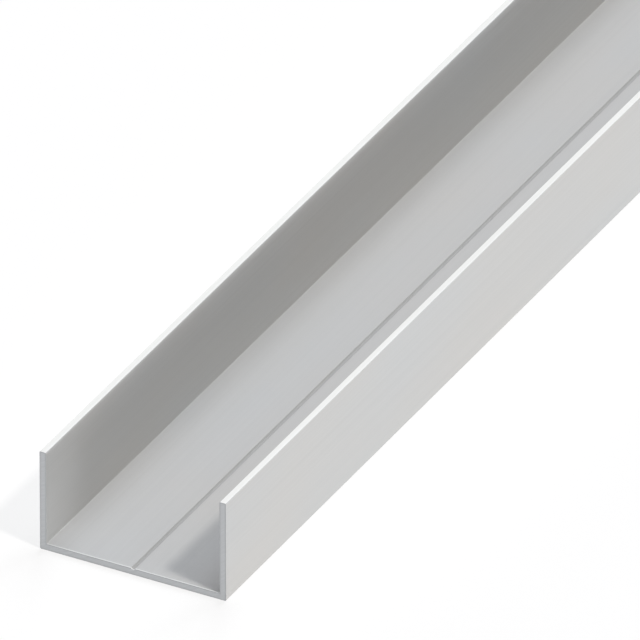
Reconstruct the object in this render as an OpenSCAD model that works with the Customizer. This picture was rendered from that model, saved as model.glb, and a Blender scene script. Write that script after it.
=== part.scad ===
// Extruded aluminium U-channel, sold as cut lengths of bar.
// It lies on its web with the flanges up. X runs across the section, Y along the bar and Z up.
// The origin is under the middle of the web, half way along the bar.

/* [Bar] */
// Length the bar is cut to
cut_length = 1000; // [100:50:3000]

/* [Section] */
// Width across the outsides of the two flanges
overall_width = 43.5; // [20:0.5:100]
// Height from the underside of the web to the flange tips
overall_height = 23.5; // [12:0.5:60]
// Thickness of the web, the flat part between the flanges
web_thickness = 1.5; // [1:0.1:3]
// Thickness of each flange
flange_thickness = 1.5; // [1:0.1:3]

/* [Edges] */
// Radius where the underside of the web turns up into a flange
outer_corner_radius = 0.3; // [0.1:0.05:0.8]
// Radius of the fillet between the web and the inside of a flange
inner_fillet_radius = 0.2; // [0.1:0.05:1.5]
// Radius on both long edges of a flange tip
tip_radius = 0.2; // [0.1:0.05:0.45]

/* [Centre groove] */
// Width of the groove where it opens in the web's inside face
groove_mouth = 1; // [0.6:0.1:3]
// Width of the flat at the bottom of the groove
groove_flat = 0.4; // [0.1:0.1:0.5]
// Depth of the groove below the web's inside face
groove_depth = 0.3; // [0.1:0.05:0.6]

/* [Hidden] */
// Clear width between the flanges
inside_width = overall_width - 2 * flange_thickness;
// How far a cutting shape runs past the surface it cuts
overrun = 1;
// How far an added fillet is let into the walls it joins
let_in = 0.1;
$fn = 64;

// Repeats a shape of the right-hand half on the left-hand half.
module both_sides() {
    children();
    mirror([1, 0]) children();
}

// The sliver between a square corner at the origin, whose sides run along +X and +Y, and the arc of this
// radius that touches both sides. It reaches past the corner by the given amount.
module corner_sliver(radius, past) {
    difference() {
        translate([-past, -past]) square(radius + past);
        translate([radius, radius]) circle(radius);
    }
}

// Web and flanges with square corners.
module plain_walls() {
    difference() {
        translate([-overall_width / 2, 0]) square([overall_width, overall_height]);
        translate([-inside_width / 2, web_thickness]) square([inside_width, overall_height]);
    }
}

// Material that fills the inside corners, where the web meets the flanges.
module inner_fillets() {
    both_sides()
        translate([-inside_width / 2, web_thickness])
            corner_sliver(inner_fillet_radius, let_in);
}

// What the round corners under the web take away.
module outer_corner_cuts() {
    both_sides()
        translate([-overall_width / 2, 0])
            corner_sliver(outer_corner_radius, overrun);
}

// What the eased edges of the flange tips take away: the outside edge, then the inside edge.
module tip_cuts() {
    both_sides() {
        translate([-overall_width / 2, overall_height])
            mirror([0, 1])
                corner_sliver(tip_radius, overrun);
        translate([-inside_width / 2, overall_height])
            rotate(180)
                corner_sliver(tip_radius, overrun);
    }
}

// Centre groove: sloping sides down to a narrow flat, open to the inside of the channel.
module centre_groove() {
    translate([0, web_thickness])
        polygon([
            [-groove_mouth / 2, overrun],
            [-groove_mouth / 2, 0],
            [-groove_flat / 2, -groove_depth],
            [groove_flat / 2, -groove_depth],
            [groove_mouth / 2, 0],
            [groove_mouth / 2, overrun]
        ]);
}

// The whole section as it leaves the die.
module section() {
    difference() {
        union() {
            plain_walls();
            inner_fillets();
        }
        outer_corner_cuts();
        tip_cuts();
        centre_groove();
    }
}

// The bar: the section drawn out along Y and sawn square at both ends.
module u_channel() {
    color("silver")
        rotate([90, 0, 0])
            linear_extrude(height = cut_length, center = true)
                section();
}

u_channel();
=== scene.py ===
# %% [markdown]
# # A length of aluminium U-channel
#
# The bar is one extrusion: hot aluminium pushed through a die as a web with two flanges, anodised matt
# and sawn square at both ends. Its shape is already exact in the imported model, so this lesson never
# touches the mesh. It sets up a camera, a floor and lamps, and then spends its time on what the model
# lacks, the finish of the metal.

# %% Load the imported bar
import math

import bpy
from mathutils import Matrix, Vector


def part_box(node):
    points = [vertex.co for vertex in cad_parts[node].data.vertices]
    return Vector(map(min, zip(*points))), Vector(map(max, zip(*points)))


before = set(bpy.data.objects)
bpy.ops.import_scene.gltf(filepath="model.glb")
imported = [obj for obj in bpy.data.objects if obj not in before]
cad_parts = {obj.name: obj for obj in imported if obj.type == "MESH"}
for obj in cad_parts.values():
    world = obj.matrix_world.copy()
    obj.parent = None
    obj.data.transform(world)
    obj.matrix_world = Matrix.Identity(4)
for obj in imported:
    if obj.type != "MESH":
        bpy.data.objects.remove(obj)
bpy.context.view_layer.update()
MM = 0.001
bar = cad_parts["u_channel"]
bar_low, bar_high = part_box("u_channel")
bar_size = bar_high - bar_low
print("bar, mm across, along and up:", [round(v / MM, 2) for v in bar_size])

# %% [markdown]
# ## Camera
#
# In the picture all long edges of the bar stay parallel, as in a drawing. A camera shows that only from
# far away through a long lens. A parallel camera would be exact, but a camera that can also step round
# the bar and take it all in has to be a perspective one. So this one has a lens of one and a half metres
# and stands where the picture's width covers 132 mm at the bar's near end.

# %% Camera at the near end, from the front right and above
LENS_MM = 1500
VIEW_AZIMUTH = 28.15
VIEW_ELEVATION = 31.45
PICTURE_WIDTH = 131.8 * MM
AIM_ACROSS = 16.85 * MM
AIM_IN_FROM_END = 50 * MM
AIM_UP = 39.27 * MM
# The camera sees this many times as far as it stands from the bar.
SIGHT_DISTANCES = 10


def direction(azimuth, elevation):
    """Unit vector from the bar towards a place at these degrees: azimuth 0 is -Y, 90 is +X."""
    a, e = math.radians(azimuth), math.radians(elevation)
    return Vector((math.sin(a) * math.cos(e), -math.cos(a) * math.cos(e), math.sin(e)))


bpy.ops.object.select_all(action="DESELECT")
bpy.ops.object.camera_add()
camera = bpy.context.object
camera.name = "camera"
camera.data.lens = LENS_MM
to_camera = direction(VIEW_AZIMUTH, VIEW_ELEVATION)
aim = Vector((AIM_ACROSS, bar_low.y + AIM_IN_FROM_END, bar_low.z + AIM_UP))
camera_distance = PICTURE_WIDTH * LENS_MM / camera.data.sensor_width
camera.location = aim + to_camera * camera_distance
camera.rotation_euler = to_camera.to_track_quat("Z", "Y").to_euler()
camera.data.clip_end = SIGHT_DISTANCES * camera_distance
bpy.context.scene.camera = camera
print("camera stands", round(camera_distance, 2), "m away")

# %% [markdown]
# ## Floor
#
# The bar lies on white studio paper. The paper is one large plane, far wider than any view, so that no
# edge of it shows. Lamps alone would leave it light grey, and stronger lamps would burn out the metal.
# So most of what the camera sees of the paper is a plain white glow, which the metal mirrors as well.
# The rest is ordinary matt paper, which keeps the bar's shadow.

# %% One small function for nodes, and one for colours


def add_node(tree, kind, sockets=None, **settings):
    """Adds a shader node, makes its settings, and fills its sockets with values or links."""
    node = tree.nodes.new("ShaderNode" + kind)
    for name, value in settings.items():
        setattr(node, name, value)
    for name, value in (sockets or {}).items():
        if isinstance(value, bpy.types.NodeSocket):
            tree.links.new(value, node.inputs[name])
        else:
            node.inputs[name].default_value = value
    return node


def linear(hex_colour):
    """An sRGB colour such as "#CFCFCE" as the linear RGBA that a shader takes."""
    channels = [int(hex_colour[i : i + 2], 16) / 255 for i in (1, 3, 5)]
    # The numbers are those of the sRGB standard.
    return [c / 12.92 if c <= 0.04045 else ((c + 0.055) / 1.055) ** 2.4 for c in channels] + [1]


def empty_material(name):
    """A new material whose node tree holds nothing yet."""
    material = bpy.data.materials.new(name)
    material.use_nodes = True
    material.node_tree.nodes.clear()
    return material


# %% White paper under the bar
FLOOR_SIZE = 80
WHITE = "#FFFFFF"
PAPER_WHITE = "#FAFAFA"
GLOW_SHARE = 0.75
GLOW_STRENGTH = 1

paper = empty_material("white_studio_paper")
sheet = paper.node_tree
rays = add_node(sheet, "LightPath").outputs
seen = rays["Is Camera Ray"]
for ray_kind in ("Is Glossy Ray", "Is Transmission Ray"):
    seen = add_node(sheet, "Math", {0: seen, 1: rays[ray_kind]}, operation="MAXIMUM").outputs[0]
glow_seen = add_node(sheet, "Math", {0: seen, 1: GLOW_SHARE}, operation="MULTIPLY").outputs[0]
matt = add_node(sheet, "BsdfDiffuse", {"Color": linear(PAPER_WHITE)}).outputs[0]
glow = add_node(sheet, "Emission", {"Color": linear(WHITE), "Strength": GLOW_STRENGTH}).outputs[0]
lit_paper = add_node(sheet, "MixShader", {0: glow_seen, 1: matt, 2: glow}).outputs[0]
add_node(sheet, "OutputMaterial", {"Surface": lit_paper})
# The glow is there to be seen and lights nothing matt, so it isn't sampled as a lamp.
paper.cycles.emission_sampling = "NONE"

bpy.ops.object.select_all(action="DESELECT")
bpy.ops.mesh.primitive_plane_add(size=FLOOR_SIZE, location=(0, 0, bar_low.z))
floor = bpy.context.object
floor.name = "floor"
floor.data.materials.append(paper)
print("floor", FLOOR_SIZE, "m square at height", round(bar_low.z / MM, 3), "mm")

# %% [markdown]
# ## Light
#
# A dim white room lights the bar from all round. Below the horizon the room is as white as the paper's
# glow, so that a low view past the paper's edge is white too. The lamps are suns, because a sun's light
# comes from the same side along the whole metre of bar. Area lamps would fade towards its far end.
#
# The key stands high on the right, and the edge of the right flange throws its shadow on the web. It is
# a touch warm and the two back lamps are a touch cool, so the shadow looks cooler than what is lit. The
# back lamps shine along the channel and light the web without lighting the flanges. Lamps close to the
# height of the paper light the outsides of both flanges and hardly reach over them. Two weak lamps at the
# right, a little higher, lighten the top of the left flange and its near end. One at the left does the
# same for the inside of the right flange, which is seen from behind.

# %% White room
ROOM_STRENGTH = 0.06
ROOM_TINT = "#F9FBFF"

room = bpy.data.worlds.new("white_room")
room.use_nodes = True
air = room.node_tree
air.nodes.clear()
ray = add_node(air, "TexCoord").outputs["Generated"]
ray_slope = add_node(air, "SeparateXYZ", {"Vector": ray}).outputs["Z"]
below = add_node(air, "Math", {0: ray_slope, 1: 0}, operation="LESS_THAN").outputs[0]
walls = add_node(
    air, "Background", {"Color": linear(ROOM_TINT), "Strength": ROOM_STRENGTH}
).outputs[0]
ground = add_node(
    air, "Background", {"Color": linear(WHITE), "Strength": GLOW_STRENGTH}
).outputs[0]
both = add_node(air, "MixShader", {0: below, 1: walls, 2: ground}).outputs[0]
add_node(air, "OutputWorld", {"Surface": both})
# A room that is even all round needs no map of where its light comes from.
room.cycles.sampling_method = "NONE"
bpy.context.scene.world = room
print("room strength", ROOM_STRENGTH)

# %% Soft lamps
# Each lamp: azimuth, elevation and apparent width in degrees, how bright it makes white paper that faces
# it, and its tint.
LAMPS = {
    "key_right": (78.7, 56.4, 6, 0.54, "#FFFBF6"),
    "back_low": (180, 36, 40, 0.45, "#F6F9FF"),
    "back_high": (180, 60, 30, 0.29, "#F6F9FF"),
    "low_right": (93, 1, 2, 0.24, "#FAFBFF"),
    "soft_right": (75, 12, 24, 0.09, "#FAFBFF"),
    "low_front_right": (72, 4, 14, 0.15, WHITE),
    "low_left": (265, 1, 2, 0.42, WHITE),
    "soft_left": (268, 12, 24, 0.2, "#FAFBFF"),
}

for lamp_name, (azimuth, elevation, width_deg, brightness, tint) in LAMPS.items():
    bpy.ops.object.select_all(action="DESELECT")
    bpy.ops.object.light_add(type="SUN")
    lamp = bpy.context.object
    lamp.name = lamp_name
    lamp.data.angle = math.radians(width_deg)
    # A sun of strength pi turns white paper that faces it full white.
    lamp.data.energy = brightness * math.pi
    lamp.data.color = linear(tint)[:3]
    lamp.rotation_euler = direction(azimuth, elevation).to_track_quat("Z", "Y").to_euler()
    print("lamp", lamp_name, "from azimuth", azimuth, "elevation", elevation)

bpy.context.scene.view_settings.view_transform = "Standard"

# %% [markdown]
# ## Finish of the metal
#
# Extruded aluminium leaves the die silvery, with fine lines drawn along it. An etching bath dulls it, and
# the anodising then keeps it matt. The eye sees an even light grey that glows where it faces a lamp and
# mirrors nothing sharply. One flat grey would look like painted card, so the material is built in layers:
# faint clouds from the bath, die lines along the bar and bare sawn ends. On top of these come a painted
# highlight on the flange tips and along the web's cut edge, painted shade in the groove, and a painted
# shade line round the cut. All layers read the bar's own coordinates, so they run unbroken round its
# corners.

# %% A new material and the place on the bar
aluminium = empty_material("matt_anodised_aluminium")
metal = aluminium.node_tree
place = add_node(metal, "TexCoord").outputs["Object"]
across, along, height = add_node(metal, "SeparateXYZ", {"Vector": place}).outputs
print("material", aluminium.name, "for slot", bar.material_slots[0].name)

# %% [markdown]
# ## Clouds from the bath
#
# The etching bath works a little unevenly, so a bar is never one grey: broad patches lean towards warm or
# cool. A photograph could be wrapped round the bar, but it would repeat and show a seam. Noise has
# neither fault. It is stretched along the bar, as the streaks of an extrusion are.

# %% Warm and cool clouds
CLOUD_ACROSS = 28 * MM
CLOUD_ALONG = 75 * MM
CLOUD_DETAIL = 2
WARM_GREY = "#D2D1CF"
COOL_GREY = "#D0D1D1"
# Nearly all of a noise lies between these values, and they are spread over the whole blend.
NOISE_LOW, NOISE_HIGH = 0.3, 0.7
# A Mix node has sockets for every kind of data under the same names, so they go by number.
MIX_FACTOR, MIX_COLOUR_A, MIX_COLOUR_B, MIX_COLOUR = 0, 6, 7, 2

cloud_scale = (1 / CLOUD_ACROSS, 1 / CLOUD_ALONG, 1 / CLOUD_ACROSS)
cloud_place = add_node(metal, "Mapping", {"Vector": place, "Scale": cloud_scale}).outputs[0]
cloud_noise = add_node(
    metal, "TexNoise", {"Vector": cloud_place, "Scale": 1, "Detail": CLOUD_DETAIL}
).outputs["Fac"]
cloud = add_node(
    metal, "MapRange", {"Value": cloud_noise, "From Min": NOISE_LOW, "From Max": NOISE_HIGH}
).outputs[0]
cloudy_grey = add_node(
    metal,
    "Mix",
    {MIX_FACTOR: cloud, MIX_COLOUR_A: linear(WARM_GREY), MIX_COLOUR_B: linear(COOL_GREY)},
    data_type="RGBA",
).outputs[MIX_COLOUR]
print("clouds", round(CLOUD_ACROSS / MM), "mm across and", round(CLOUD_ALONG / MM), "mm along")

# %% [markdown]
# ## Die lines
#
# The die's lips are never quite smooth, and each tiny flaw draws a line along the bar. A Wave texture
# would give lines all alike. Noise pulled out along the bar gives lines of uneven width that fade in and
# out, as real ones do. The same noise sets the tone here, and later the roughness and a very shallow
# bump.

# %% Lines drawn along the bar
# Real die lines are about 0.2 mm apart. They are drawn three times as wide, so that a picture shows them.
LINE_PITCH = 0.6 * MM
LINE_RUN = 160 * MM
LINE_DETAIL = 3
LINE_SHADE = 0.955
# The noise at which a line is darkest, and at which it is gone.
LINE_DARKEST, LINE_GONE = 0.25, 0.65

line_scale = (1 / LINE_PITCH, 1 / LINE_RUN, 1 / LINE_PITCH)
line_place = add_node(metal, "Mapping", {"Vector": place, "Scale": line_scale}).outputs[0]
lines = add_node(
    metal, "TexNoise", {"Vector": line_place, "Scale": 1, "Detail": LINE_DETAIL}
).outputs["Fac"]
line_shade = add_node(
    metal,
    "MapRange",
    {
        "Value": lines,
        "From Min": LINE_DARKEST,
        "From Max": LINE_GONE,
        "To Min": LINE_SHADE,
        "To Max": 1,
    },
).outputs[0]
drawn_grey = add_node(
    metal,
    "Mix",
    {MIX_FACTOR: 1, MIX_COLOUR_A: cloudy_grey, MIX_COLOUR_B: line_shade},
    data_type="RGBA",
    blend_type="MULTIPLY",
).outputs[MIX_COLOUR]
print("die lines", round(LINE_PITCH / MM, 2), "mm apart, about", round(LINE_RUN / MM), "mm long")

# %% [markdown]
# ## Flange tips
#
# The narrow top faces of the flange tips are painted paler than the rest, a painted highlight. Height
# alone tells where the tips are.

# %% Painted highlight on the flange tips
TIP_BAND = 0.05 * MM
TIP_BLEND = 0.04 * MM
# Painted highlight: a paler grey on the flat tops stands in for light falling on them.
TIP_HIGHLIGHT_GREY = "#F1F1EF"

tip_start = bar_high.z - TIP_BAND
tip = add_node(
    metal,
    "MapRange",
    {"Value": height, "From Min": tip_start, "From Max": tip_start + TIP_BLEND},
    interpolation_type="SMOOTHSTEP",
).outputs[0]
grey_with_tip_highlight = add_node(
    metal,
    "Mix",
    {MIX_FACTOR: tip, MIX_COLOUR_A: drawn_grey, MIX_COLOUR_B: linear(TIP_HIGHLIGHT_GREY)},
    data_type="RGBA",
).outputs[MIX_COLOUR]
print("tips start", round(tip_start / MM, 2), "mm up")

# %% [markdown]
# ## Centre groove
#
# The shallow groove down the middle of the web keeps a drill from wandering. It is painted a darker grey
# than the web, painted shade in the recess. Its place is measured on the mesh: of the web's inside, it
# alone has points near the middle.

# %% Painted shade in the groove
NEAR_MIDDLE = 5 * MM
MARGIN = 0.01 * MM
# Painted shade: the groove's darker grey stands in for shade in the recess.
GROOVE_SHADE_GREY = "#BEBEBD"

above_underside = [v.co for v in bar.data.vertices if v.co.z > bar_low.z + MARGIN]
middle_points = [p for p in above_underside if abs(p.x) < NEAR_MIDDLE]
groove_half = max(abs(p.x) for p in middle_points)
groove_top = max(p.z for p in middle_points)
groove_bottom = min(p.z for p in middle_points)
groove_depth = groove_top - groove_bottom
groove_middle = (groove_top + groove_bottom) / 2
groove_reach = groove_depth / 2 + MARGIN
# Compare gives 1 where the first value is within the third of the second, and 0 elsewhere.
in_width = add_node(
    metal, "Math", {0: across, 1: 0, 2: groove_half}, operation="COMPARE"
).outputs[0]
in_depth = add_node(
    metal, "Math", {0: height, 1: groove_middle, 2: groove_reach}, operation="COMPARE"
).outputs[0]
groove_shade_mask = add_node(metal, "Math", {0: in_width, 1: in_depth}, operation="MULTIPLY").outputs[0]
grey_with_groove_shade = add_node(
    metal,
    "Mix",
    {MIX_FACTOR: groove_shade_mask, MIX_COLOUR_A: grey_with_tip_highlight, MIX_COLOUR_B: linear(GROOVE_SHADE_GREY)},
    data_type="RGBA",
).outputs[MIX_COLOUR]
print("groove", round(2 * groove_half / MM, 2), "mm wide,", round(groove_depth / MM, 2), "mm deep")

# %% [markdown]
# ## Sawn ends
#
# A bar that is cut to length after anodising has bare ends: a cooler grey, with the arcs that a saw blade
# leaves. Along the cut edge of the web's inside a pale strip is painted, a painted highlight. Separate
# end faces would need a second material slot, and the bar has one. The distance from the end does the
# same work inside this material. A Wave texture could draw the arcs, but all alike. Noise that runs
# outwards from the blade's centre makes them uneven, as a saw does.

# %% Painted highlight along the web's cut edge
RIM_WIDTH = 0.4 * MM
RIM_BLEND = 0.2 * MM
# Painted highlight: a pale strip along the web's cut edge stands in for light.
RIM_HIGHLIGHT_GREY = "#E6E7E6"

# The bar's middle is at 0, across and along, so a distance from it holds for both sides or ends.
from_middle = add_node(metal, "Math", {0: along}, operation="ABSOLUTE").outputs[0]
beside = add_node(metal, "Math", {0: across}, operation="ABSOLUTE").outputs[0]
half_length = bar_size.y / 2
half_height = bar_size.z / 2
inside_half = min(abs(p.x) for p in above_underside if p.z > bar_low.z + half_height)
rim_start = half_length - RIM_WIDTH
rim = add_node(
    metal,
    "MapRange",
    {"Value": from_middle, "From Min": rim_start, "From Max": rim_start + RIM_BLEND},
    interpolation_type="SMOOTHSTEP",
).outputs[0]
inside = add_node(metal, "Math", {0: beside, 1: inside_half}, operation="LESS_THAN").outputs[0]
on_web = add_node(metal, "Math", {0: inside, 1: in_depth}, operation="MULTIPLY").outputs[0]
rim_highlight_mask = add_node(metal, "Math", {0: on_web, 1: rim}, operation="MULTIPLY").outputs[0]
grey_with_rim_highlight = add_node(
    metal,
    "Mix",
    {MIX_FACTOR: rim_highlight_mask, MIX_COLOUR_A: grey_with_groove_shade, MIX_COLOUR_B: linear(RIM_HIGHLIGHT_GREY)},
    data_type="RGBA",
).outputs[MIX_COLOUR]
print("rim", round(RIM_WIDTH / MM, 2), "mm wide, inside half width", round(inside_half / MM, 2), "mm")

# %% Saw arcs on the bare cut
# Saw teeth leave arcs about 0.15 mm apart. They are drawn three times as wide, so that a picture shows
# them.
ARC_PITCH = 0.45 * MM
ARC_DETAIL = 2
BLADE_CENTRE = (-70 * MM, 0, 120 * MM)
END_GREY_LOW = "#D2D4D6"
END_GREY_HIGH = "#D7D9DB"

# The scale of 0 takes out the way along the bar, so that both ends get the same arcs.
blade_place = add_node(
    metal,
    "Mapping",
    {"Vector": place, "Location": [-c for c in BLADE_CENTRE], "Scale": (1, 0, 1)},
).outputs[0]
blade_radius = add_node(metal, "VectorMath", {0: blade_place}, operation="LENGTH").outputs["Value"]
arcs = add_node(
    metal,
    "TexNoise",
    {"W": blade_radius, "Scale": 1 / ARC_PITCH, "Detail": ARC_DETAIL},
    noise_dimensions="1D",
).outputs["Fac"]
arc_shade = add_node(
    metal, "MapRange", {"Value": arcs, "From Min": NOISE_LOW, "From Max": NOISE_HIGH}
).outputs[0]
sawn_grey = add_node(
    metal,
    "Mix",
    {
        MIX_FACTOR: arc_shade,
        MIX_COLOUR_A: linear(END_GREY_LOW),
        MIX_COLOUR_B: linear(END_GREY_HIGH),
    },
    data_type="RGBA",
).outputs[MIX_COLOUR]
print("saw arcs", round(ARC_PITCH / MM, 2), "mm apart")

# %% [markdown]
# ## Edges of the cut
#
# A fine darker line is painted round the whole U of the cut, painted shade as on round edges that turn
# away from the light. The section is three straight strips, so a few subtractions tell how far a point of
# the cut is from each side of its strip, and the smallest of them is the distance to the edge.

# %% Painted shade line round the cut
EDGE_START = 0.08 * MM
EDGE_END = 0.4 * MM
# Painted shade: the darker line round the cut stands in for shade on round edges.
EDGE_SHADE_GREY = "#C7C9CB"

to_outside = add_node(metal, "Math", {0: bar_high.x, 1: beside}, operation="SUBTRACT").outputs[0]
to_underside = add_node(metal, "Math", {0: height, 1: bar_low.z}, operation="SUBTRACT").outputs[0]
to_tip = add_node(metal, "Math", {0: bar_high.z, 1: height}, operation="SUBTRACT").outputs[0]
into_flange = add_node(metal, "Math", {0: beside, 1: inside_half}, operation="SUBTRACT").outputs[0]
into_web = add_node(metal, "Math", {0: groove_top, 1: height}, operation="SUBTRACT").outputs[0]
to_inside = add_node(metal, "Math", {0: into_flange, 1: into_web}, operation="MAXIMUM").outputs[0]
to_edge = to_outside
for distance in (to_underside, to_tip, to_inside):
    to_edge = add_node(metal, "Math", {0: to_edge, 1: distance}, operation="MINIMUM").outputs[0]
edge_shade_mask = add_node(
    metal,
    "MapRange",
    {"Value": to_edge, "From Min": EDGE_END, "From Max": EDGE_START},
    interpolation_type="SMOOTHSTEP",
).outputs[0]
end_grey_with_edge_shade = add_node(
    metal,
    "Mix",
    {MIX_FACTOR: edge_shade_mask, MIX_COLOUR_A: sawn_grey, MIX_COLOUR_B: linear(EDGE_SHADE_GREY)},
    data_type="RGBA",
).outputs[MIX_COLOUR]
print("edge line fades out", round(EDGE_END / MM, 2), "mm from the edge")

# %% Ends on the bar
END_DEPTH = 0.005 * MM

end_start = half_length - END_DEPTH
on_end = add_node(
    metal, "Math", {0: from_middle, 1: end_start}, operation="GREATER_THAN"
).outputs[0]
final_grey = add_node(
    metal,
    "Mix",
    {MIX_FACTOR: on_end, MIX_COLOUR_A: grey_with_rim_highlight, MIX_COLOUR_B: end_grey_with_edge_shade},
    data_type="RGBA",
).outputs[MIX_COLOUR]
print("ends at", round(half_length / MM, 2), "mm from the middle")

# %% [markdown]
# ## Roughness and bump
#
# Colour alone doesn't make metal: most of what tells it from paint is how its gloss changes. The die
# lines are a touch smoother than the ground between them, and the sawn ends are smoother than the etched
# faces. The bump is a few thousandths of a millimetre deep, enough to break up the gloss and far too
# little to see as a shape.

# %% How smooth each place is
ROUGH_GROUND = 0.88
ROUGH_LINES = 0.8
ROUGH_ENDS = 0.7
MIX_VALUE_A, MIX_VALUE_B, MIX_VALUE = 2, 3, 0

face_rough = add_node(
    metal, "MapRange", {"Value": lines, "To Min": ROUGH_LINES, "To Max": ROUGH_GROUND}
).outputs[0]
rough = add_node(
    metal, "Mix", {MIX_FACTOR: on_end, MIX_VALUE_A: face_rough, MIX_VALUE_B: ROUGH_ENDS}
).outputs[MIX_VALUE]
print("roughness", ROUGH_LINES, "to", ROUGH_GROUND, "and", ROUGH_ENDS, "on the ends")

# %% Relief of lines and arcs, and the finished metal
RELIEF = 0.004 * MM

relief = add_node(
    metal, "Mix", {MIX_FACTOR: on_end, MIX_VALUE_A: lines, MIX_VALUE_B: arcs}
).outputs[MIX_VALUE]
bump = add_node(metal, "Bump", {"Height": relief, "Strength": 1, "Distance": RELIEF}).outputs[0]
surface = add_node(
    metal,
    "BsdfPrincipled",
    {"Base Color": final_grey, "Metallic": 1, "Roughness": rough, "Normal": bump},
).outputs[0]
add_node(metal, "OutputMaterial", {"Surface": surface})
bar.material_slots[0].material = aluminium
print("finish with", len(metal.nodes), "nodes, relief", round(RELIEF / MM, 4), "mm")
